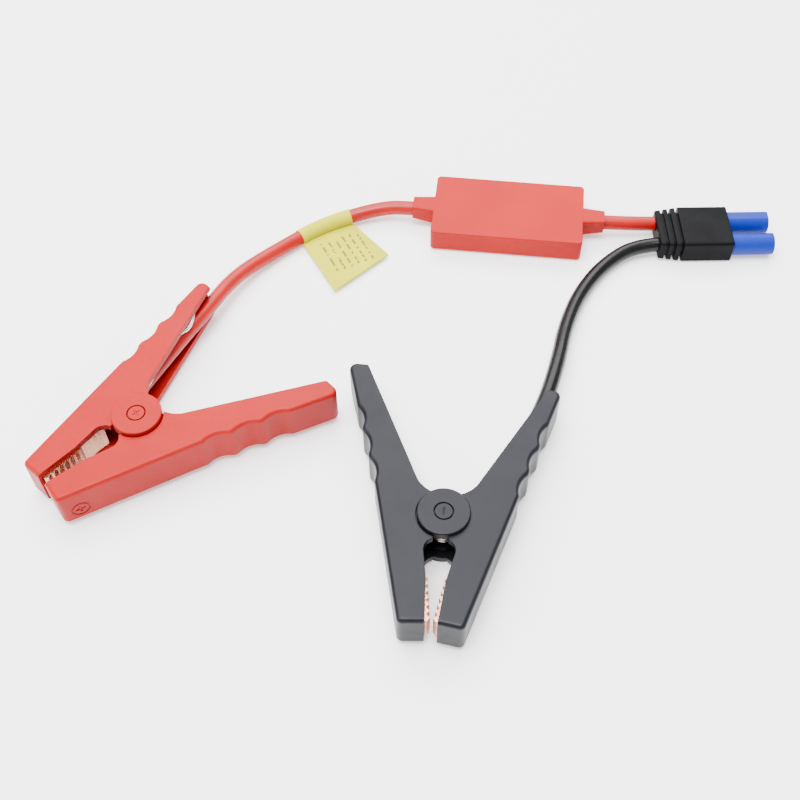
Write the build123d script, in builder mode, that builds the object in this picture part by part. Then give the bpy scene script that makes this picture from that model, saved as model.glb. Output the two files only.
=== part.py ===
"""Clamp lead set of a car jump starter.

Two sprung battery clamps lie flat. A red lead runs from the red clamp through an inline
protection module to a twin-pole plug, and a black lead runs from the plug to the black clamp.
Millimetres, +Z up, the floor is z = 0 and the origin is the middle of the footprint.
"""
from build123d import *
from math import cos, radians, sin, tan
import os

os.makedirs("parts", exist_ok=True)

# ---------------------------------------------------------------- clamp, in its own (u, v) plane
# u runs from the pivot to the jaw tips, v runs from the pivot out to the lever's own side.
LEVER_HEIGHT = 15.3
HALF_HEIGHT = LEVER_HEIGHT / 2
EAR_RISE = 1.6  # the pivot ears stand proud of the cheeks by this much
CLAMP_MID_Z = HALF_HEIGHT + EAR_RISE
JAW_TIP_U = 39.2
JAW_TIP_OUT = 10.3  # half the width of the closed clamp at its tip
JAW_TIP_IN = 2.0
OUTER_ANGLE = 15.5
INNER_SLOPE = tan(radians(26.8))
FREE_TIP_U = -58.0
FLARE_U = -8.0  # behind this the free lever's handle flares out a little more
FREE_FLARE = 0.058
CABLE_TIP_U = -54.3
CHEEK = 2.4  # thickness of the top and bottom cheeks
WALL = 2.4  # thickness of the outer side wall
FRONT_WALL = 2.2
GRIP_CENTRES = (-12.2, -22.6, -33.0)  # u of the three finger scallops
GRIP_RADIUS = 8.5
GRIP_DEPTH = 1.25
EDGE_ROUND = 1.4
TIP_ROUND = 2.0
SEAT_LENGTH, SEAT_HEIGHT = 3.0, 2.15  # the spring leg's seat inside each handle

# pivot
EAR_RADIUS = 8.7
EAR_BASE = HALF_HEIGHT - 1.2  # the ear goes down into the cheek's thickness
INNER_EAR_RADIUS = 6.5
INNER_EAR_TOP = EAR_BASE - 0.2
INNER_EAR_THICK = 2.2
SIDE_GAP = 0.4  # radial gap around both ears
PIN_RADIUS = 2.0
PIN_CLEARANCE = 0.06
CAP_RADIUS = 2.85
CAP_RECESS = 3.3
CAP_DEPTH = 1.4
PIN_TOP = HALF_HEIGHT + EAR_RISE - CAP_DEPTH

# polarity marks
MARK_U = 33.0
MARK_RADIUS = 3.2
MARK_DROP = 2.0  # below mid height
MARK_LINE = 0.5
MARK_DEPTH = 0.3

# torsion spring
WIRE = 1.5
COIL_RADIUS = 4.4
COIL_HEIGHT = 5.2
COIL_START = 60.7  # angle where the lower leg leaves the coil
COIL_SWEEP = 3 * 360 + 2 * COIL_START
COIL_CORNERS = 27
COIL_BEND = 4.2
BOW_BEND = 3.0
LEG_BOW = [(-33.0, 23.6), (-38.2, 21.7), (-43.5, 27.6)]  # the leg bows inwards, then ends at its seat
LEG_Z = 3.9

# copper jaws
COPPER = 0.9
JAW_HALF = HALF_HEIGHT - CHEEK - 0.1  # half the height of the jaw channel
JAW_FLANGE = 6.5
JAW_FRONT_U = 36.7
TEETH = 7
TOOTH_PITCH = 2.3
TOOTH_DEPTH = 1.1
BITE_SLOPE = 0.155
BITE_GAP = 0.3  # half the gap between the closed jaws at their tips

# ---------------------------------------------------------------- module
MODULE_LENGTH, MODULE_WIDTH, MODULE_HEIGHT = 60.5, 32.9, 10.0
MODULE_SEAM = 6.2
MODULE_WALL = 1.6
MODULE_CORNER = 1.7
MODULE_LEAD_Z = 6.4
NECK_LENGTH = 8.5
NECK_WIDE, NECK_NARROW = 8.8, 6.9
NECK_BOTTOM, NECK_TOP, NECK_RISE = 2.2, 9.95, 1.4  # the neck's underside rises towards its end
FERRULE_RADIUS = 1.9
BOARD_LENGTH, BOARD_WIDTH, BOARD_THICK, BOARD_Z = 46.8, 25.0, 1.2, 2.8
BUS_LENGTH, BUS_WIDTH, BUS_Y = 32.0, 4.0, 6.5
MODULE_X, MODULE_Y, MODULE_TURN = 33.4, 82.9, -7.3
MODULE_PLANE = Plane(
    origin=(MODULE_X, MODULE_Y, 0),
    x_dir=(cos(radians(MODULE_TURN)), sin(radians(MODULE_TURN)), 0),
    z_dir=(0, 0, 1),
)

# ---------------------------------------------------------------- plug
PLUG_X = 92.4  # cable face
PLUG_LENGTH, PLUG_WIDTH, PLUG_HEIGHT = 29.0, 21.6, 10.0
PLUG_Y, PLUG_Z = 72.4, 5.0
RIB_END_X = 101.8
RIBS_X = (94.6, 97.4, 100.4)
RIB_GROOVE = 1.2
POLE_Y = 6.0  # each pole's distance from the plug's middle
TUBE_RADIUS, TUBE_LENGTH = 4.3, 16.4
TUBE_FLAT = 3.95
SOCKET_OUT, SOCKET_BORE = 3.1, 2.5
SOCKET_DEPTH = 16.0
SOCKET_MOUTH_X = 136.6
CORE_RADIUS = 2.3
CORE_END_X = 97.8

# ---------------------------------------------------------------- leads and layout
LEAD_DIAMETER = 5.8
LEAD_RADIUS = LEAD_DIAMETER / 2
BORE_RADIUS = LEAD_RADIUS + 0.08
RUN_SHARE = 0.45  # the part of the shorter run that a bend uses
CLAMPS = {
    "red": {"pivot": (-101.9, -22.6), "heading": 222.0, "flip": 1, "positive": True},
    "black": {"pivot": (2.1, -62.9), "heading": -97.8, "flip": -1, "positive": False},
}
RED_ROUTE = [
    (-104.2, -5.1, 9.25), (-94.3, 14.0, 9.3), (-84.15, 31.6, 9.1), (-75.9, 51.0, 6.0),
    (-62.5, 66.0, 3.25), (-42.0, 82.0, 3.25), (-17.5, 90.3, 4.8), (-3.6, 87.5, 6.4), (4.98, 86.54, 6.4),
]
LINK_ROUTE = [(61.82, 79.26, 6.4), (79.0, 77.4, 6.1), (97.4, 78.4, 5.0)]
BLACK_ROUTE = [
    (17.8, -55.0, 9.25), (28.9, -34.6, 9.3), (39.5, -14.8, 9.1), (46.5, 6.0, 7.9),
    (51.0, 24.0, 5.3), (58.5, 42.5, 3.2), (70.0, 58.2, 3.0), (84.5, 67.6, 4.4), (97.4, 66.9, 5.0),
]
LABEL_CORNER = 5  # the red lead's bend that carries the flag label
LABEL_THICK = 0.3
FLAG_CORNERS = [(-15.5, 66.0), (-36.5, 47.0)]
FLAG_Z, FLAG_THICK = 1.4, 0.8


def save(name, builder):
    """Label a finished piece and write its STEP."""
    builder.part.label = name
    export_step(builder.part, f"parts/{name}.step")


# ---------------------------------------------------------------- leads
def bend_radii(route):
    """One radius for each corner, as large as its two runs allow."""
    radii = []
    for before, corner, after in zip(route, route[1:], route[2:]):
        run_in = Vector(*corner) - Vector(*before)
        run_out = Vector(*after) - Vector(*corner)
        half_turn = radians(run_in.get_angle(run_out)) / 2
        radii.append(RUN_SHARE * min(run_in.length, run_out.length) / tan(half_turn))
    return radii


def make_lead(name, route):
    """A lead: its jacket swept along straight runs joined by tangent arcs."""
    radii = bend_radii(route)
    with BuildPart() as lead:
        with BuildLine() as path:
            FilletPolyline(*route, radius=radii)
        line = path.wire()
        with BuildSketch(Plane(origin=line @ 0, z_dir=line % 0)):
            Circle(LEAD_RADIUS)
        sweep(path=line)
    straight_volume = Circle(LEAD_RADIUS, mode=Mode.PRIVATE).area * line.length
    print(name, "length", round(line.length, 1), "radii", [round(r, 1) for r in radii])
    print(name, "volume ratio", round(lead.part.volume / straight_volume, 4))
    save(name, lead)
    return lead, line


red_lead, red_line = make_lead("red_clamp_cord", RED_ROUTE)
link_lead, link_line = make_lead("red_link_cord", LINK_ROUTE)
black_lead, black_line = make_lead("black_clamp_cord", BLACK_ROUTE)


# ---------------------------------------------------------------- clamp pieces
def lever_plane(clamp, side):
    """The clamp's mid plane with v towards one lever: side 1 is the free lever, -1 the cable lever."""
    heading = radians(clamp["heading"])
    return Plane(
        origin=(*clamp["pivot"], CLAMP_MID_Z),
        x_dir=(cos(heading), sin(heading), 0),
        z_dir=(0, 0, side * clamp["flip"]),
    )


def outer_v(u, flare=0.0):
    """Outer edge of a lever."""
    return JAW_TIP_OUT + (JAW_TIP_U - u) * tan(radians(OUTER_ANGLE)) + max(0.0, FLARE_U - u) * flare


def inner_v(u):
    """Inner edge of a handle, behind the pivot."""
    return 10.85 - (14.0 + u) * INNER_SLOPE


def cheek_sketch(plane, tip_u, flare):
    """Plan of a lever: jaw, mouth arch, throat behind the pivot, handle and finger scallops."""
    throat, neck = (-12.0, inner_v(-12.0)), (-7.7, 4.4)
    arch_end, arch_start = (14.2, 5.0), (9.3, 2.5)
    with BuildSketch(plane) as outline:
        with BuildLine():
            Polyline(arch_start, neck)
            ThreePointArc(neck, (-9.2, 7.2), throat)
            Polyline(
                throat, (tip_u, inner_v(tip_u)), (tip_u, outer_v(tip_u, flare)), (FLARE_U, outer_v(FLARE_U)),
                (JAW_TIP_U, JAW_TIP_OUT), (JAW_TIP_U - 1.0, JAW_TIP_IN), (23.0, 3.2), arch_end,
            )
            ThreePointArc(arch_end, (11.0, 4.5), arch_start)
        make_face()
        for u in GRIP_CENTRES:
            with Locations((u, outer_v(u, flare) + (GRIP_RADIUS - GRIP_DEPTH) / cos(radians(OUTER_ANGLE)))):
                Circle(GRIP_RADIUS, mode=Mode.SUBTRACT)
        crests = outline.vertices().filter_by(lambda p: p.Y > outer_v(p.X, flare) - 0.4 and -45 < p.X < -4)
        fillet(crests, radius=2.0)
        fillet(outline.vertices().sort_by(Axis.Y)[-1], radius=2.6)
        fillet(outline.vertices().sort_by(Axis.X)[-1], radius=TIP_ROUND)
    return outline.sketch


def in_both_cheeks(plane, low, high, radius, mode):
    """A disc between two heights above the mid plane, and its mirror below it."""
    for way in (1, -1):
        with BuildSketch(plane.offset(way * low)) as disc:
            Circle(radius)
        extrude(disc.sketch, amount=way * (high - low), mode=mode)


def make_lever_shell(plane, tip_u, flare, open_end):
    """Channel-shaped lever: two cheeks, an outer wall, a front wall and, unless open, an end wall."""

    def is_outside(edge):
        middle = plane.to_local_coords(edge.center())
        on_face = abs(abs(middle.Z) - HALF_HEIGHT) < 0.01
        on_wall = middle.Y > outer_v(middle.X, flare) - 2.6
        return on_face and (on_wall or middle.X < tip_u + 2 or middle.X > JAW_TIP_U - 1.5)

    end_u = tip_u - 5 if open_end else tip_u + FRONT_WALL
    front_u = JAW_TIP_U - FRONT_WALL
    inset = WALL / cos(radians(OUTER_ANGLE))
    leg_end_u, leg_end_v = LEG_BOW[-1]
    seat_low, seat_high = leg_end_v + WIRE / 2 + 0.1, outer_v(leg_end_u, flare) - 1
    with BuildPart() as shell:
        extrude(cheek_sketch(plane, tip_u, flare), amount=HALF_HEIGHT, both=True)
        fillet(shell.edges().filter_by(is_outside), radius=EDGE_ROUND)
        with BuildSketch(plane):
            with BuildLine():
                Polyline(
                    (front_u, -25), (front_u, outer_v(front_u) - inset), (FLARE_U, outer_v(FLARE_U) - inset),
                    (end_u, outer_v(end_u, flare) - inset), (end_u, -25), close=True,
                )
            make_face()
        extrude(amount=HALF_HEIGHT - CHEEK, both=True, mode=Mode.SUBTRACT)
        # the seat that the spring's leg bears on
        with BuildSketch(plane.offset(-HALF_HEIGHT + CHEEK - 0.4)):
            with Locations((leg_end_u, (seat_low + seat_high) / 2)):
                Rectangle(SEAT_LENGTH, seat_high - seat_low)
        extrude(amount=SEAT_HEIGHT + 0.4)
    return shell.part


def polarity_sketch(positive, size, line):
    """A plus or a minus sign."""
    Rectangle(size, line)
    if positive:
        Rectangle(line, size)


def is_ear_rim(edge):
    """The outer rims of the raised ears."""
    proud = abs(abs(edge.center().Z - CLAMP_MID_Z) - CLAMP_MID_Z) < 0.01
    return proud and abs(edge.radius - EAR_RADIUS) < 0.01


def make_cable_lever(clamp):
    """The lever that holds the lead; its raised ears carry the pin."""
    plane = lever_plane(clamp, -1)
    with BuildPart() as lever:
        add(make_lever_shell(plane, CABLE_TIP_U, 0.0, open_end=True))
        with BuildSketch(plane):
            Circle(INNER_EAR_RADIUS + SIDE_GAP)
        extrude(amount=EAR_BASE, both=True, mode=Mode.SUBTRACT)
        in_both_cheeks(plane, EAR_BASE, HALF_HEIGHT + EAR_RISE, EAR_RADIUS, Mode.ADD)
        rims = lever.edges().filter_by(GeomType.CIRCLE).filter_by(is_ear_rim)
        fillet(rims, radius=0.4)
        in_both_cheeks(plane, PIN_TOP, HALF_HEIGHT + EAR_RISE, CAP_RECESS, Mode.SUBTRACT)
        with BuildSketch(plane):
            Circle(PIN_RADIUS)
        extrude(amount=CLAMP_MID_Z, both=True, mode=Mode.SUBTRACT)
    return lever


def make_free_lever(clamp):
    """The lever that swings when the handles are squeezed."""
    plane = lever_plane(clamp, 1)
    with BuildPart() as lever:
        add(make_lever_shell(plane, FREE_TIP_U, FREE_FLARE, open_end=False))
        in_both_cheeks(plane, INNER_EAR_TOP, HALF_HEIGHT + 1, EAR_RADIUS + SIDE_GAP, Mode.SUBTRACT)
        in_both_cheeks(plane, INNER_EAR_TOP - INNER_EAR_THICK, INNER_EAR_TOP, INNER_EAR_RADIUS, Mode.ADD)
        with BuildSketch(plane):
            Circle(PIN_RADIUS + PIN_CLEARANCE)
        extrude(amount=HALF_HEIGHT, both=True, mode=Mode.SUBTRACT)
        # engraved polarity ring on the outer wall, near the jaw's tip
        mark_z = -MARK_DROP * clamp["flip"]
        wall_point = plane.from_local_coords(Vector(MARK_U, outer_v(MARK_U), mark_z))
        wall_out = plane.from_local_coords(
            Vector(MARK_U + sin(radians(OUTER_ANGLE)), outer_v(MARK_U) + cos(radians(OUTER_ANGLE)), mark_z)
        ) - wall_point
        with BuildSketch(Plane(origin=wall_point, x_dir=(0, 0, 1), z_dir=wall_out)):
            Circle(MARK_RADIUS)
            Circle(MARK_RADIUS - MARK_LINE, mode=Mode.SUBTRACT)
            with Locations(Rotation(0, 0, 90)):
                polarity_sketch(clamp["positive"], MARK_RADIUS, MARK_LINE + 0.1)
        extrude(amount=-MARK_DEPTH, mode=Mode.SUBTRACT)
    return lever


def jaw_edge():
    """Inner edge of a jaw: it lines the mouth's arch, then runs in saw teeth to the tip."""
    points = [(10.7, 5.3), (12.4, 5.55), (14.3, 5.5), (17.4, 4.9), (19.6, 4.4)]
    for i in range(TEETH):
        root_u = JAW_FRONT_U - (TEETH - i) * TOOTH_PITCH
        tip_u = root_u + TOOTH_PITCH / 2
        points.append((root_u, BITE_GAP + (JAW_FRONT_U - root_u) * BITE_SLOPE + TOOTH_DEPTH))
        points.append((tip_u, BITE_GAP + (JAW_FRONT_U - tip_u) * BITE_SLOPE))
    points.append((JAW_FRONT_U, BITE_GAP + TOOTH_DEPTH))
    return points


def make_jaw(clamp, side):
    """Copper channel: a toothed web that faces the other jaw and a flange under each cheek."""
    plane = lever_plane(clamp, side)
    edge = jaw_edge()
    with BuildPart() as jaw:
        with BuildSketch(plane):
            with BuildLine():
                Polyline(edge + [(u, v + COPPER + 0.3) for u, v in reversed(edge)], close=True)
            make_face()
        extrude(amount=JAW_HALF, both=True)
        for way in (1, -1):
            with BuildSketch(plane.offset(way * (JAW_HALF - COPPER))):
                with BuildLine():
                    back_u, back_v = edge[0]
                    Polyline(
                        edge + [(JAW_FRONT_U, BITE_GAP + JAW_FLANGE), (back_u, back_v + JAW_FLANGE)],
                        close=True,
                    )
                make_face()
            extrude(amount=way * COPPER)
    return jaw


def make_pin(clamp):
    """Steel pivot pin, riveted over inside the ears' recesses."""
    with BuildPart() as pin:
        with BuildSketch(lever_plane(clamp, 1)):
            Circle(PIN_RADIUS)
        extrude(amount=PIN_TOP, both=True)
    return pin


def make_caps(clamp):
    """Two caps that close the ears' recesses, each with the clamp's polarity sign."""
    plane = lever_plane(clamp, -1)
    with BuildPart() as caps:
        in_both_cheeks(plane, PIN_TOP, HALF_HEIGHT + EAR_RISE, CAP_RADIUS, Mode.ADD)
        for way in (1, -1):
            with BuildSketch(plane.offset(way * (HALF_HEIGHT + EAR_RISE))):
                polarity_sketch(clamp["positive"], 2.6, 0.45)
            extrude(amount=-way * 0.2, mode=Mode.SUBTRACT)
    return caps


def make_spring(clamp):
    """Torsion spring: a close coil round the pin and one bowed leg along each handle."""
    route = [(u, v, -LEG_Z) for u, v in reversed(LEG_BOW)]
    for i in range(COIL_CORNERS):
        angle = radians(COIL_START - COIL_SWEEP * (i + 0.5) / COIL_CORNERS)
        corner_radius = COIL_RADIUS / cos(radians(COIL_SWEEP / COIL_CORNERS / 2))
        height = COIL_HEIGHT * (i / (COIL_CORNERS - 1) - 0.5)
        route.append((corner_radius * cos(angle), corner_radius * sin(angle), height))
    route += [(u, -v, LEG_Z) for u, v in LEG_BOW]
    with BuildPart() as spring:
        with BuildLine() as bent_wire:
            FilletPolyline(*route, radius=[BOW_BEND] * 2 + [COIL_BEND] * COIL_CORNERS + [BOW_BEND] * 2)
        path = bent_wire.wire()
        with BuildSketch(Plane(origin=path @ 0, z_dir=path % 0)):
            Circle(WIRE / 2)
        sweep(path=path)
    with BuildPart() as placed:
        with Locations(lever_plane(clamp, 1).location):
            add(spring.part)
    return placed


def make_lug(clamp, route):
    """Crimp lug: a barrel on the lead's core and a tongue welded to the back of the fixed jaw."""
    plane = lever_plane(clamp, -1)
    start = Vector(*route[0])
    with BuildPart() as lug:
        with BuildSketch(Plane(origin=start, z_dir=start - Vector(*route[1]))):
            Circle(2.4)
        extrude(amount=6.5)
        with BuildSketch(plane):
            with BuildLine():
                Polyline(
                    (-6.0, 13.7), (3.0, 12.4), (14.3, 7.75), (19.0, 6.9),
                    (19.0, 5.95), (14.3, 6.75), (2.5, 11.3), (-6.0, 12.3), close=True,
                )
            make_face()
        extrude(amount=2.8, both=True)
    return lug


for colour, clamp in CLAMPS.items():
    save(f"{colour}_cable_lever", make_cable_lever(clamp))
    save(f"{colour}_free_lever", make_free_lever(clamp))
    save(f"{colour}_fixed_jaw", make_jaw(clamp, -1))
    save(f"{colour}_moving_jaw", make_jaw(clamp, 1))
    save(f"{colour}_pivot_pin", make_pin(clamp))
    save(f"{colour}_pivot_caps", make_caps(clamp))
    save(f"{colour}_torsion_spring", make_spring(clamp))
    save(f"{colour}_cable_lug", make_lug(clamp, RED_ROUTE if colour == "red" else BLACK_ROUTE))


# ---------------------------------------------------------------- module
def module_end_plane(way, distance):
    """A plane square to the module's length, facing out of one end."""
    out = MODULE_PLANE.x_dir * way
    return Plane(origin=MODULE_PLANE.origin + out * distance, x_dir=(0, 0, 1), z_dir=out)


def add_necks():
    """The two necks that grip the leads; the seam splits them between the lid and the base."""
    for way in (1, -1):
        with BuildSketch(module_end_plane(way, MODULE_LENGTH / 2 - 1.0)) as root:
            with Locations(((NECK_BOTTOM + NECK_TOP) / 2, 0)):
                RectangleRounded(NECK_TOP - NECK_BOTTOM, NECK_WIDE, 0.9)
        with BuildSketch(module_end_plane(way, MODULE_LENGTH / 2 + NECK_LENGTH)) as tip:
            with Locations(((NECK_BOTTOM + NECK_RISE + NECK_TOP) / 2, 0)):
                RectangleRounded(NECK_TOP - NECK_BOTTOM - NECK_RISE, NECK_NARROW, 0.9)
        loft([root.sketch, tip.sketch])


def cut_lead_bores():
    """The round passages through the module's ends."""
    for way in (1, -1):
        with BuildSketch(module_end_plane(way, MODULE_LENGTH / 2 - 6)) as bore:
            with Locations((MODULE_LEAD_Z, 0)):
                Circle(BORE_RADIUS)
        extrude(bore.sketch, amount=NECK_LENGTH + 7, mode=Mode.SUBTRACT)
    add(red_lead.part, mode=Mode.SUBTRACT)
    add(link_lead.part, mode=Mode.SUBTRACT)


with BuildPart() as module_base:
    with BuildSketch(MODULE_PLANE):
        RectangleRounded(MODULE_LENGTH, MODULE_WIDTH, MODULE_CORNER)
    extrude(amount=MODULE_SEAM)
    fillet(module_base.faces().sort_by(Axis.Z)[0].edges(), radius=1.3)
    add_necks()
    with BuildSketch(MODULE_PLANE.offset(MODULE_SEAM)):
        Rectangle(MODULE_LENGTH + 4 * NECK_LENGTH, MODULE_WIDTH)
    extrude(amount=MODULE_HEIGHT, mode=Mode.SUBTRACT)
    with BuildSketch(MODULE_PLANE.offset(MODULE_WALL)):
        RectangleRounded(MODULE_LENGTH - 2 * MODULE_WALL, MODULE_WIDTH - 2 * MODULE_WALL, 1.2)
    extrude(amount=MODULE_HEIGHT, mode=Mode.SUBTRACT)
    with BuildSketch(MODULE_PLANE.offset(MODULE_WALL - 0.4)):
        with GridLocations(38.0, 19.0, 2, 2):
            Circle(1.6)
    extrude(amount=BOARD_Z - MODULE_WALL + 0.4)
    cut_lead_bores()
save("module_base", module_base)

with BuildPart() as module_lid:
    with BuildSketch(MODULE_PLANE.offset(MODULE_SEAM)):
        RectangleRounded(MODULE_LENGTH, MODULE_WIDTH, MODULE_CORNER)
    extrude(amount=MODULE_HEIGHT - MODULE_SEAM)
    fillet(module_lid.faces().sort_by(Axis.Z)[-1].edges(), radius=0.45)
    add_necks()
    with BuildSketch(MODULE_PLANE):
        Rectangle(MODULE_LENGTH + 4 * NECK_LENGTH, MODULE_WIDTH)
    extrude(amount=MODULE_SEAM, mode=Mode.SUBTRACT)
    # locating lip inside the base's wall
    lip_length = MODULE_LENGTH - 2 * MODULE_WALL - 0.2
    lip_width = MODULE_WIDTH - 2 * MODULE_WALL - 0.2
    with BuildSketch(MODULE_PLANE.offset(MODULE_SEAM - 1.2)):
        RectangleRounded(lip_length, lip_width, 1.1)
    extrude(amount=1.4)
    with BuildSketch(MODULE_PLANE.offset(MODULE_SEAM - 1.3)):
        RectangleRounded(lip_length - 1.6, lip_width - 1.6, 0.9)
    extrude(amount=MODULE_HEIGHT - MODULE_WALL - MODULE_SEAM + 1.3, mode=Mode.SUBTRACT)
    cut_lead_bores()
save("module_lid", module_lid)

with BuildPart() as module_circuit_board:
    with BuildSketch(MODULE_PLANE.offset(BOARD_Z)):
        RectangleRounded(BOARD_LENGTH, BOARD_WIDTH, 1.5)
    extrude(amount=BOARD_THICK)
save("module_circuit_board", module_circuit_board)

BUS_Z = BOARD_Z + BOARD_THICK
with BuildPart() as module_bus_bars:
    with BuildSketch(MODULE_PLANE.offset(BUS_Z)):
        with GridLocations(0, 2 * BUS_Y, 1, 2):
            Rectangle(BUS_LENGTH, BUS_WIDTH)
    extrude(amount=COPPER)
save("module_bus_bars", module_bus_bars)

with BuildPart() as module_diodes:
    with BuildSketch(MODULE_PLANE.offset(BUS_Z + COPPER)):
        with GridLocations(10.5, 0, 3, 1):
            RectangleRounded(9.0, 2 * BUS_Y + 2.5, 0.6)
    extrude(amount=3.2)
save("module_diodes", module_diodes)


def make_terminal(way):
    """A soldered tab on one bus bar and the ferrule that grips the lead's core."""
    with BuildPart() as terminal:
        with BuildSketch(module_end_plane(way, MODULE_LENGTH / 2 - MODULE_WALL - 0.2)):
            with Locations((MODULE_LEAD_Z, 0)):
                Circle(FERRULE_RADIUS)
        extrude(amount=-5.0)
        with BuildSketch(MODULE_PLANE.offset(BUS_Z)):
            with BuildLine():
                x_out, x_in = way * 24.6, way * BUS_LENGTH / 2
                y_far = -way * (BUS_Y + BUS_WIDTH / 2)
                y_near = way * 2.0
                Polyline((x_out, y_near), (x_in, y_near), (x_in, y_far), (x_out, y_far), close=True)
            make_face()
        extrude(amount=COPPER)
    return terminal


save("module_input_terminal", make_terminal(-1))
save("module_output_terminal", make_terminal(1))

# ---------------------------------------------------------------- plug
PLUG_END_X = PLUG_X + PLUG_LENGTH
BLOCK_X = PLUG_END_X - 18.0
POLES_Y = (PLUG_Y + POLE_Y, PLUG_Y - POLE_Y)


def plug_section(x, width, height, corner):
    """A rounded section of the plug, square to its length."""
    with BuildSketch(Plane(origin=(x, PLUG_Y, PLUG_Z), x_dir=(0, 1, 0), z_dir=(1, 0, 0))) as section:
        RectangleRounded(width, height, corner)
    return section.sketch


def pole_rods(x_low, x_high, radius, mode=Mode.ADD, poles=POLES_Y):
    """Round rods along the poles' axes."""
    for y in poles:
        with BuildSketch(Plane(origin=(x_low, y, PLUG_Z), x_dir=(0, 1, 0), z_dir=(1, 0, 0))) as rod:
            Circle(radius)
        extrude(rod.sketch, amount=x_high - x_low, mode=mode)


with BuildPart() as plug_connector_body:
    extrude(plug_section(BLOCK_X, 20.0, 8.4, 2.0), amount=18.0)
    pole_rods(PLUG_END_X, PLUG_END_X + TUBE_LENGTH, TUBE_RADIUS)
    # one tube has flats, so that the plug fits only one way round
    for way in (1, -1):
        with BuildSketch(Plane.XY.offset(PLUG_Z + way * TUBE_FLAT)):
            with Locations((PLUG_END_X + TUBE_LENGTH / 2, POLES_Y[0])):
                Rectangle(TUBE_LENGTH, 2 * TUBE_RADIUS)
        extrude(amount=way * 2, mode=Mode.SUBTRACT)
    pole_rods(BLOCK_X, PLUG_END_X + TUBE_LENGTH, SOCKET_OUT, Mode.SUBTRACT)
save("plug_connector_body", plug_connector_body)

with BuildPart() as plug_overmould:
    mid_section = plug_section(RIB_END_X, PLUG_WIDTH, PLUG_HEIGHT, 1.2)
    extrude(mid_section, amount=PLUG_END_X - RIB_END_X)
    loft([plug_section(PLUG_X, PLUG_WIDTH - 2.4, PLUG_HEIGHT - 1.4, 1.2), mid_section])
    for side_face in (-1, 0):
        fillet(plug_overmould.faces().sort_by(Axis.X)[side_face].edges(), radius=0.6)
    # strain-relief grooves right round the plug
    for x in RIBS_X:
        with BuildSketch(Plane(origin=(x, PLUG_Y, PLUG_Z), x_dir=(0, 1, 0), z_dir=(1, 0, 0))):
            Rectangle(PLUG_WIDTH + 2, PLUG_HEIGHT + 2)
            RectangleRounded(PLUG_WIDTH - 3.0, PLUG_HEIGHT - 2.4, 2.0, mode=Mode.SUBTRACT)
        extrude(amount=RIB_GROOVE, mode=Mode.SUBTRACT)
    extrude(plug_section(BLOCK_X, 20.0, 8.4, 2.0), amount=20.0, mode=Mode.SUBTRACT)
    pole_rods(CORE_END_X, BLOCK_X, CORE_RADIUS, Mode.SUBTRACT)
    add(link_lead.part, mode=Mode.SUBTRACT)
    add(black_lead.part, mode=Mode.SUBTRACT)
save("plug_overmould", plug_overmould)


def make_socket(y):
    """Plated bullet socket with the core's cup behind it."""
    with BuildPart() as socket:
        pole_rods(CORE_END_X, 112.0, CORE_RADIUS, poles=(y,))
        pole_rods(112.0, SOCKET_MOUTH_X, SOCKET_OUT, poles=(y,))
        pole_rods(SOCKET_MOUTH_X - SOCKET_DEPTH, SOCKET_MOUTH_X, SOCKET_BORE, Mode.SUBTRACT, poles=(y,))
    return socket


save("plug_positive_socket", make_socket(POLES_Y[0]))
save("plug_negative_socket", make_socket(POLES_Y[1]))

# ---------------------------------------------------------------- flag label on the red lead
bend = red_line.edges().sort_by(Axis.X)[2 * LABEL_CORNER - 1]
along = (bend @ 1) - (bend @ 0)
towards_flag = Vector(along.Y, -along.X, 0).normalized()
if along.X < 0:
    towards_flag = towards_flag * -1
near_edge = [(bend @ t) + towards_flag * (LEAD_RADIUS - 0.05) for t in (0, 0.5, 1)]
if near_edge[0].X > near_edge[2].X:
    near_edge.reverse()

with BuildPart() as cord_flag_label:
    with BuildSketch(Plane(origin=bend @ 0, z_dir=bend % 0)):
        Circle(LEAD_RADIUS + LABEL_THICK)
        Circle(LEAD_RADIUS + 0.02, mode=Mode.SUBTRACT)
    sweep(path=bend)
    with BuildSketch(Plane.XY.offset(FLAG_Z)):
        with BuildLine():
            ThreePointArc(*[(p.X, p.Y) for p in near_edge])
            Polyline((near_edge[2].X, near_edge[2].Y), *FLAG_CORNERS, (near_edge[0].X, near_edge[0].Y))
        make_face()
    extrude(amount=FLAG_THICK)
save("cord_flag_label", cord_flag_label)
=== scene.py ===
"""Jump starter clamp lead set: two sprung clamps, an inline module and a twin-pole plug."""

import math

import bpy
from mathutils import Matrix, Vector


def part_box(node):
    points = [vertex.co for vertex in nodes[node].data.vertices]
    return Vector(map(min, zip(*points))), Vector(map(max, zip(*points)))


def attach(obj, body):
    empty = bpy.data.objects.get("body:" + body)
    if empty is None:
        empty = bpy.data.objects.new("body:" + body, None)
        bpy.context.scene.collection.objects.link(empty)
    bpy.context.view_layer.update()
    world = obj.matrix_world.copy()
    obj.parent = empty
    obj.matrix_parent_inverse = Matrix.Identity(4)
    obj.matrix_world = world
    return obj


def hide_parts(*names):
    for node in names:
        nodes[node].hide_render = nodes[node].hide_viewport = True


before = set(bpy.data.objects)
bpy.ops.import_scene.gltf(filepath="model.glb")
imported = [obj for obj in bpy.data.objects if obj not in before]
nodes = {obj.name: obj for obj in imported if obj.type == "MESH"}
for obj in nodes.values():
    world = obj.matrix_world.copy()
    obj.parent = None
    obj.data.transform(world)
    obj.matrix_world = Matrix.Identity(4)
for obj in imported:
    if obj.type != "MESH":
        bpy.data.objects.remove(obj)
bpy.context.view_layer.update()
MM = 0.001
LEAD_DIAMETER = 5.8 * MM


# ------------------------------------------------------------------ camera
CAMERA_PLACE = (-0.0115, -0.2430, 0.3246)
CAMERA_PITCH = 53.76  # degrees that it looks down from level
CAMERA_ROLL = -0.731  # degrees
CAMERA_LENS = 49.61  # mm


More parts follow.
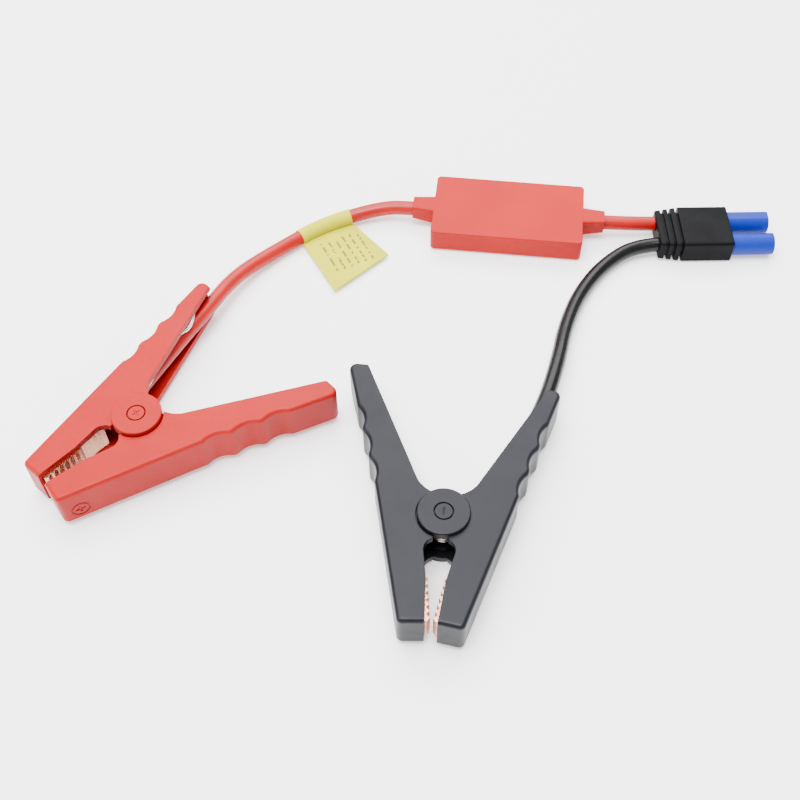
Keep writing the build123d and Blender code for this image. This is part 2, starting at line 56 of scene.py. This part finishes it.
def make_camera():
    pitch, roll = math.radians(CAMERA_PITCH), math.radians(CAMERA_ROLL)
    forward = Vector((0, math.cos(pitch), -math.sin(pitch)))
    up = Vector((0, math.sin(pitch), math.cos(pitch)))
    right = Vector((1, 0, 0))
    tilted_right = right * math.cos(roll) + up * math.sin(roll)
    tilted_up = up * math.cos(roll) - right * math.sin(roll)
    camera = bpy.data.objects.new("camera", bpy.data.cameras.new("camera"))
    turned = Matrix((tilted_right, tilted_up, -forward)).transposed().to_4x4()
    camera.matrix_world = Matrix.Translation(CAMERA_PLACE) @ turned
    camera.data.lens = CAMERA_LENS
    camera.data.clip_start = 0.01
    bpy.context.scene.collection.objects.link(camera)
    bpy.context.scene.camera = camera


make_camera()


# ------------------------------------------------------------------ material tools
# Textures use object coordinates, which are in metres: a noise scale of 900 gives grain of about 1 mm.
class Nodes:
    """A short way to write node trees: n.add("ShaderNodeX", {"Input": value or socket}, setting=value)."""

    def __init__(self, material):
        material.use_nodes = True
        self.tree = material.node_tree
        self.tree.nodes.clear()
        self.out = self.tree.nodes.new("ShaderNodeOutputMaterial")
        self.coords = self.tree.nodes.new("ShaderNodeTexCoord")

    def set(self, node, name, value):
        socket = node.inputs[name]
        if isinstance(value, bpy.types.NodeSocket):
            self.tree.links.new(value, socket)
        else:
            socket.default_value = value

    def add(self, kind, sockets=None, **settings):
        node = self.tree.nodes.new(kind)
        for key, value in settings.items():
            setattr(node, key, value)
        for name, value in (sockets or {}).items():
            self.set(node, name, value)
        return node

    def noise(self, scale, detail=2.0, roughness=0.5, vector=None, distortion=0.0):
        return self.add("ShaderNodeTexNoise", {
            "Vector": vector or self.coords.outputs["Object"], "Scale": scale, "Detail": detail,
            "Roughness": roughness, "Distortion": distortion,
        }).outputs["Fac"]

    def stretch(self, value, low, high, out_low, out_high):
        return self.add("ShaderNodeMapRange", {
            "Value": value, "From Min": low, "From Max": high, "To Min": out_low, "To Max": out_high,
        }).outputs["Result"]

    def maths(self, operation, a, b=0.0):
        node = self.tree.nodes.new("ShaderNodeMath")
        node.operation = operation
        for i, value in enumerate((a, b)):
            self.set(node, i, value)
        return node.outputs[0]

    def mix(self, fac, a, b):
        """Mix two colours. A mix node has several sockets of one name, so they go by number."""
        factor_socket, a_socket, b_socket, result_socket = 0, 6, 7, 2
        node = self.add("ShaderNodeMix", data_type="RGBA")
        self.set(node, factor_socket, fac)
        self.set(node, a_socket, a)
        self.set(node, b_socket, b)
        return node.outputs[result_socket]

    def rounded(self, radius):
        """A normal that makes sharp corners look rounded, by a radius in mm."""
        return self.add("ShaderNodeBevel", {"Radius": radius * MM}, samples=6).outputs["Normal"]

    def bump(self, height, strength, distance, normal=None):
        sockets = {"Height": height, "Strength": strength, "Distance": distance}
        if normal is not None:
            sockets["Normal"] = normal
        return self.add("ShaderNodeBump", sockets).outputs["Normal"]

    def shade(self, **sockets):
        bsdf = self.add("ShaderNodeBsdfPrincipled", {k.replace("_", " "): v for k, v in sockets.items()})
        self.tree.links.new(bsdf.outputs[0], self.out.inputs[0])


def rgba(colour, gain=1.0):
    return (*[min(1.0, c * gain) for c in colour], 1.0)


def plastic(name, colour, rough, mottle=0.06, **extra):
    """Moulded plastic: slow colour drift, fine satin grain, faint flow marks, rounded-looking corners."""
    material = bpy.data.materials.new(name)
    n = Nodes(material)
    drift = n.noise(28.0, 3.0)
    speck = n.noise(900.0, 2.0)
    drift = n.stretch(drift, 0.35, 0.65, 0.0, 1.0)
    base = n.mix(drift, rgba(colour, 1.0 - mottle), rgba(colour, 1.0 + mottle))
    base = n.mix(n.stretch(speck, 0.42, 0.7, 0.0, 0.3), base, rgba(colour, 0.72))
    wipe = n.noise(75.0, 4.0, 0.65, distortion=0.6)
    roughness = n.stretch(wipe, 0.3, 0.7, rough - 0.06, rough + 0.08)
    normal = n.bump(n.noise(900.0, 3.0, 0.6), 0.6, 0.012 * MM, n.rounded(0.3))
    normal = n.bump(n.noise(60.0, 2.0), 0.25, 0.02 * MM, normal)
    n.shade(Base_Color=base, Roughness=roughness, Normal=normal, **extra)
    return material


def metal(name, colour, rough, tarnish, brush=(1400.0, 1400.0, 90.0)):
    """Bare metal: drawn or stamped grain, a little tarnish in patches."""
    material = bpy.data.materials.new(name)
    n = Nodes(material)
    grain = n.add("ShaderNodeMapping", {"Vector": n.coords.outputs["Object"], "Scale": brush})
    lines = n.noise(1.0, 3.0, vector=grain.outputs[0])
    patches = n.noise(240.0, 4.0, 0.6)
    base = n.mix(n.stretch(patches, 0.5, 0.72, 0.0, 0.45), rgba(colour), rgba(tarnish))
    roughness = n.stretch(lines, 0.3, 0.7, rough - 0.08, rough + 0.12)
    normal = n.bump(lines, 0.3, 0.004 * MM, n.rounded(0.12))
    n.shade(Base_Color=base, Metallic=1.0, Roughness=roughness, Normal=normal)
    return material


def jacket(name, colour, rough, **extra):
    """Silicone or vinyl jacket: smooth, with a slow ripple from the strands beneath."""
    material = bpy.data.materials.new(name)
    n = Nodes(material)
    drift = n.noise(45.0, 2.0)
    base = n.mix(n.stretch(drift, 0.35, 0.65, 0.0, 1.0), rgba(colour, 0.9), rgba(colour, 1.08))
    dust = n.noise(1500.0, 2.0)
    base = n.mix(n.stretch(dust, 0.62, 0.8, 0.0, 0.2), base, rgba(colour, 1.9))
    roughness = n.stretch(n.noise(160.0, 3.0), 0.3, 0.7, rough - 0.05, rough + 0.08)
    normal = n.bump(n.noise(220.0, 2.0), 0.3, 0.03 * MM)
    n.shade(Base_Color=base, Roughness=roughness, Normal=normal, **extra)
    return material


def module_skin(name, colour):
    """Red module moulding with a fine crosshatched spark texture, its grooves darkened with painted shade.
    """
    material = bpy.data.materials.new(name)
    n = Nodes(material)
    hatch = []
    for angle in (0.65, -0.85):
        turned = n.add("ShaderNodeMapping", {
            "Vector": n.coords.outputs["Object"], "Rotation": (0, 0, angle),
        })
        wave = n.add("ShaderNodeTexWave", {
            "Vector": turned.outputs[0], "Scale": 230.0, "Distortion": 3.0,
            "Detail": 2.0, "Detail Scale": 2.0,
        }, wave_type="BANDS")
        hatch.append(wave.outputs["Fac"])
    weave = n.maths("MULTIPLY", hatch[0], hatch[1])
    height = n.maths("ADD", weave, n.noise(1300.0, 2.0))
    drift = n.noise(30.0, 3.0)
    base = n.mix(n.stretch(drift, 0.35, 0.65, 0.0, 1.0), rgba(colour, 0.93), rgba(colour, 1.07))
    # Painted shade: the low grooves of the hatch are mixed darker.
    base = n.mix(n.stretch(weave, 0.0, 0.8, 0.18, 0.0), base, rgba(colour, 0.7))
    roughness = n.stretch(weave, 0.0, 1.0, 0.44, 0.58)
    normal = n.bump(height, 0.45, 0.03 * MM, n.rounded(0.2))
    n.shade(Base_Color=base, Roughness=roughness, Normal=normal, Specular_IOR_Level=0.16)
    return material


# The print is laid out in a frame of its own, with X along the rows and the flag's middle at the origin.
LABEL_SHIFT = (75.1 * MM, -1.0 * MM, 0.0)
LABEL_TURN = 64.0  # degrees, about Z
ROW_PITCH = 3.1 * MM
ROW_HALF_HEIGHT = 0.15  # as a share of the pitch
DASHES = (700.0, 325.0, 0.0)  # noise cells per metre along the rows and across them
PRINT_HALF_WIDTH, PRINT_HALF_HEIGHT = 8.5 * MM, 9.3 * MM


def label_print(name, colour):
    """Yellow vinyl with generic rows of dashes across the flag."""
    material = bpy.data.materials.new(name)
    n = Nodes(material)
    laid = n.add("ShaderNodeMapping", {
        "Vector": n.coords.outputs["Object"], "Location": LABEL_SHIFT,
        "Rotation": (0, 0, math.radians(LABEL_TURN)),
    }).outputs[0]
    split = n.add("ShaderNodeSeparateXYZ", {"Vector": laid}).outputs
    row = n.maths("FRACT", n.maths("MULTIPLY", split["Y"], 1.0 / ROW_PITCH))
    off_middle = n.maths("ABSOLUTE", n.maths("SUBTRACT", row, 0.5))
    in_row = n.maths("LESS_THAN", off_middle, ROW_HALF_HEIGHT)
    cells = n.add("ShaderNodeMapping", {"Vector": laid, "Scale": DASHES})
    word = n.noise(1.0, 0.0, vector=cells.outputs[0])
    ink = n.maths("MULTIPLY", in_row, n.maths("GREATER_THAN", word, 0.47))
    for axis, reach in (("X", PRINT_HALF_WIDTH), ("Y", PRINT_HALF_HEIGHT)):
        ink = n.maths("MULTIPLY", ink, n.maths("LESS_THAN", n.maths("ABSOLUTE", split[axis]), reach))
    drift = n.noise(60.0, 3.0)
    base = n.mix(n.stretch(drift, 0.35, 0.65, 0.0, 1.0), rgba(colour, 0.93), rgba(colour, 1.05))
    base = n.mix(n.maths("MULTIPLY", ink, 0.7), base, (0.03, 0.03, 0.02, 1.0))
    roughness = n.stretch(n.noise(200.0, 3.0), 0.3, 0.7, 0.34, 0.48)
    normal = n.bump(n.noise(110.0, 2.0), 0.4, 0.08 * MM)
    n.shade(Base_Color=base, Roughness=roughness, Normal=normal, Specular_IOR_Level=0.12)
    return material


red_plastic = plastic("red_plastic", (0.33, 0.0, 0.0), 0.42, Specular_IOR_Level=0.16)
black_plastic = plastic(
    "black_plastic", (0.0042, 0.0045, 0.0078), 0.38, mottle=0.12, Specular_IOR_Level=0.19,
)
overmould_black = plastic(
    "overmould_black", (0.0015, 0.0015, 0.0022), 0.5, mottle=0.12, Specular_IOR_Level=0.07,
)
blue_nylon = plastic(
    "blue_nylon", (0.0, 0.016, 0.26), 0.42, mottle=0.08, Specular_IOR_Level=0.2,
)
module_red = module_skin("module_red", (0.36, 0.0015, 0.0005))
red_jacket = jacket("red_jacket", (0.34, 0.0, 0.0), 0.34, Specular_IOR_Level=0.3)
black_jacket = jacket("black_jacket", (0.002, 0.002, 0.0025), 0.26, Specular_IOR_Level=0.22)
copper = metal(
    "copper", (0.60, 0.30, 0.21), 0.22, (0.22, 0.07, 0.045), brush=(900.0, 900.0, 900.0),
)
zinc = metal("zinc", (0.62, 0.62, 0.64), 0.3, (0.35, 0.34, 0.33))
spring_steel = metal(
    "spring_steel", (0.72, 0.72, 0.74), 0.2, (0.4, 0.4, 0.4), brush=(300.0, 300.0, 300.0),
)
tin = metal("tin", (0.8, 0.79, 0.77), 0.28, (0.45, 0.44, 0.42))
gold = metal("gold", (0.95, 0.73, 0.34), 0.2, (0.6, 0.4, 0.15))
board_green = plastic("board_green", (0.02, 0.16, 0.05), 0.3)
epoxy = plastic("epoxy", (0.02, 0.02, 0.02), 0.5)
yellow_label = label_print("yellow_label", (0.50, 0.47, 0.0))

LOOKS = {
    "module_base": module_red, "module_lid": module_red,
    "module_circuit_board": board_green, "module_diodes": epoxy, "module_bus_bars": copper,
    "module_input_terminal": tin, "module_output_terminal": tin,
    "plug_overmould": overmould_black, "plug_connector_body": blue_nylon,
    "plug_positive_socket": gold, "plug_negative_socket": gold, "cord_flag_label": yellow_label,
}
for colour, moulding in (("red", red_plastic), ("black", black_plastic)):
    LOOKS[f"{colour}_cable_lever"] = moulding
    LOOKS[f"{colour}_free_lever"] = moulding
    LOOKS[f"{colour}_pivot_caps"] = moulding
    LOOKS[f"{colour}_fixed_jaw"] = copper
    LOOKS[f"{colour}_moving_jaw"] = copper
    LOOKS[f"{colour}_pivot_pin"] = zinc
    LOOKS[f"{colour}_cable_lug"] = tin

for name, material in LOOKS.items():
    nodes[name].data.materials.clear()
    nodes[name].data.materials.append(material)


# ------------------------------------------------------------------ tubes along a curve
def make_tube(name, points, diameter, smoothness, material):
    """A round tube along a NURBS curve, from the first of its points to the last. All in metres."""
    data = bpy.data.curves.new(name, "CURVE")
    data.dimensions = "3D"
    spline = data.splines.new("NURBS")
    spline.points.add(len(points) - 1)
    for point, place in zip(spline.points, points):
        point.co = (*place, 1.0)
    spline.order_u = 3
    spline.use_endpoint_u = True
    spline.resolution_u, data.bevel_resolution = smoothness
    data.bevel_depth = diameter / 2
    data.use_fill_caps = True
    tube = bpy.data.objects.new(name, data)
    bpy.context.scene.collection.objects.link(tube)
    data.materials.append(material)
    return tube


# ------------------------------------------------------------------ leads
LEAD_SMOOTHNESS = (16, 7)  # steps along each stretch, and round each quarter
RED_ROUTE = [  # mm, from the clamp to the module
    (-104.2, -5.1, 9.25), (-94.3, 14.0, 9.3), (-84.15, 31.6, 9.1), (-75.9, 51.0, 6.0),
    (-62.5, 66.0, 3.25), (-42.0, 82.0, 3.25), (-17.5, 90.3, 4.8), (-3.6, 87.5, 6.4),
    (4.98, 86.54, 6.4),
]
LINK_ROUTE = [(61.82, 79.26, 6.4), (79.0, 77.4, 6.1), (97.4, 78.4, 5.0)]
BLACK_ROUTE = [
    (17.8, -55.0, 9.25), (28.9, -34.6, 9.3), (39.5, -14.8, 9.1), (46.5, 6.0, 7.9),
    (51.0, 24.0, 5.3), (58.5, 42.5, 3.2), (70.0, 58.2, 3.0), (84.5, 67.6, 4.4), (97.4, 66.9, 5.0),
]


def make_lead(name, node, route, material):
    points = [[c * MM for c in place] for place in route]
    lead = make_tube(name, points, LEAD_DIAMETER, LEAD_SMOOTHNESS, material)
    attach(lead, "lead_set")
    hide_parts(node)


make_lead("red_clamp_lead", "red_clamp_cord", RED_ROUTE, red_jacket)
make_lead("red_link_lead", "red_link_cord", LINK_ROUTE, red_jacket)
make_lead("black_clamp_lead", "black_clamp_cord", BLACK_ROUTE, black_jacket)


# ------------------------------------------------------------------ springs
# The coil and one leg stay with the cable lever. The other leg turns with the free lever,
# about the same pin, so the two stay joined as the spring winds up.
# Sizes are in mm, in the clamp's own plane: u towards the jaw tips, v outwards, and w along the pin.
# Each clamp has its heading in degrees, and the side that its free lever is on.
CLAMPS = {"red": (222.0, 1), "black": (-97.8, -1)}
WIRE_SMOOTHNESS = (8, 5)
WIRE_DIAMETER, COIL_RADIUS, COIL_RISE, LEG_W = 1.5, 4.4, 5.2, 3.9
COIL_START = 60.7  # degrees round from u
COIL_TURNS = 3
COIL_SWEEP = COIL_TURNS * 360 + 2 * COIL_START
COIL_POINTS = 48
LEG_BOW = [(-33.0, 23.6), (-38.2, 21.7), (-43.5, 27.6)]


def coil_point(i):
    angle = math.radians(COIL_START - COIL_SWEEP * i / COIL_POINTS)
    w = COIL_RISE * (i / COIL_POINTS - 0.5)
    return COIL_RADIUS * math.cos(angle), COIL_RADIUS * math.sin(angle), w


def make_wire(name, colour, points, body):
    heading, flip = CLAMPS[colour]
    low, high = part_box(f"{colour}_pivot_pin")
    along = Vector((math.cos(math.radians(heading)), math.sin(math.radians(heading)), 0))
    up = Vector((0, 0, flip))
    middle = (Vector(low) + Vector(high)) / 2
    places = [middle + (along * u + up.cross(along) * v + up * w) * MM for u, v, w in points]
    wire = make_tube(name, places, WIRE_DIAMETER * MM, WIRE_SMOOTHNESS, spring_steel)
    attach(wire, body)
    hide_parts(f"{colour}_torsion_spring")


for colour in CLAMPS:
    free_leg = [(u, v, -LEG_W) for u, v in reversed(LEG_BOW)]
    cable_leg = [(u, -v, LEG_W) for u, v in LEG_BOW]
    coil = [coil_point(i) for i in range(COIL_POINTS + 1)]
    make_wire(f"{colour}_spring_free_leg", colour, free_leg + coil[:3], f"{colour}_swing_lever")
    make_wire(f"{colour}_spring_coil", colour, coil[1:] + cable_leg, "lead_set")


# ------------------------------------------------------------------ floor, light
FLOOR_SIZE, FLOOR_DROP, FLOOR_GLOW = 4.0, 0.1 * MM, 0.5
SOFTBOXES = [  # name, place, target, size in metres, and power in watts
    ("back_softbox", (0.0, 0.85, 0.95), (0, 0.05, 0), (1.5, 0.8), 34.0),
    ("top_softbox", (-0.15, -0.05, 1.1), (0, 0, 0), (0.7, 0.7), 34.0),
    ("left_fill", (-0.9, -0.3, 0.5), (0, 0, 0), (0.5, 0.5), 6.0),
]


def make_stage():
    bpy.ops.mesh.primitive_plane_add(size=FLOOR_SIZE, location=(0, 0, -FLOOR_DROP))
    floor = bpy.context.object
    floor.name = "floor"
    material = bpy.data.materials.new("floor_white")
    n = Nodes(material)
    haze = n.noise(3.0, 2.0)
    base = n.mix(n.stretch(haze, 0.3, 0.7, 0.0, 1.0), (0.93, 0.93, 0.93, 1), (0.95, 0.95, 0.95, 1))
    n.shade(Base_Color=base, Roughness=0.9, Emission_Color=(1, 1, 1, 1), Emission_Strength=FLOOR_GLOW)
    floor.data.materials.append(material)

    world = bpy.data.worlds.new("world")
    bpy.context.scene.world = world
    world.use_nodes = True
    background = world.node_tree.nodes["Background"]
    background.inputs["Color"].default_value = (1, 1, 1, 1)
    background.inputs["Strength"].default_value = 1.0

    for name, place, target, size, power in SOFTBOXES:
        light = bpy.data.lights.new(name, "AREA")
        light.shape = "RECTANGLE"
        light.size, light.size_y = size
        light.energy = power
        lamp = bpy.data.objects.new(name, light)
        lamp.location = place
        lamp.rotation_euler = (Vector(target) - Vector(place)).to_track_quat("-Z", "Y").to_euler()
        bpy.context.scene.collection.objects.link(lamp)


make_stage()
